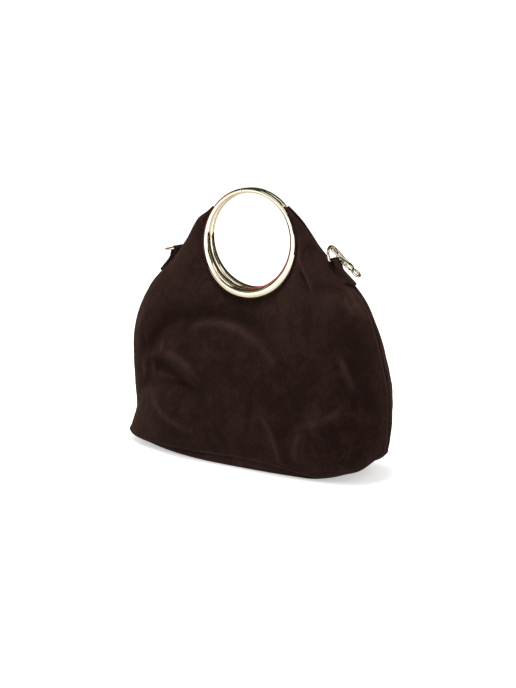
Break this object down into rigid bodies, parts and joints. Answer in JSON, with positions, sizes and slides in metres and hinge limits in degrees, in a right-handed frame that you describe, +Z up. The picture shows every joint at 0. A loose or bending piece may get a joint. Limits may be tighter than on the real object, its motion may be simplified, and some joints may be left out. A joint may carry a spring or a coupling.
{
  "type": "ring-handle handbag",
  "caption": "Soft suede handbag with round metal ring handles set into its front and back, a flat base, and side tabs with D-rings and a trigger hook for a strap.",
  "frame": {"origin": "middle of the base, on the floor", "axes": "+X to the bag's right along its width, +Y from front to back, +Z up"},
  "size_m": [0.3073, 0.1001, 0.2757],
  "materials": {
    "suede": "napped, matt",
    "gold_metal": "polished, pale gold plating"
  },
  "bodies": {
    "bag": {"front_panel": "suede", "back_panel": "suede", "base_panel": "suede", "front_ring": "gold_metal", "back_ring": "gold_metal", "left_tab": "suede", "right_tab": "suede"},
    "left_d_ring": {"left_d_ring": "gold_metal"},
    "right_d_ring": {"right_d_ring": "gold_metal", "hook_body": "gold_metal"},
    "hook_lever": {"hook_lever": "gold_metal"},
    "hook_eye": {"hook_eye": "gold_metal"}
  },
  "joints": [
    {"name": "left_d_ring_swing", "type": "hinge", "parent": "bag", "child": "left_d_ring", "pos_m": [-0.08924, 0, 0.21174], "axis": [0, 1, 0], "range_deg": [-24, 138]},
    {"name": "right_d_ring_swing", "type": "hinge", "parent": "bag", "child": "right_d_ring", "pos_m": [0.08975, 0, 0.20974], "axis": [0, 1, 0], "range_deg": [-34, 0]},
    {"name": "hook_lever_press", "type": "hinge", "parent": "right_d_ring", "child": "hook_lever", "pos_m": [0.09887, 0.00469, 0.20722], "axis": [-0.6667, 0, -0.7453], "range_deg": [0, 20], "stiffness_Nm_per_rad": 0.01},
    {"name": "hook_eye_swivel", "type": "hinge", "parent": "right_d_ring", "child": "hook_eye", "pos_m": [0.10282, 0.00859, 0.20369], "axis": [0.7453, 0, -0.6667], "range_deg": [-58, 38]}
  ]
}
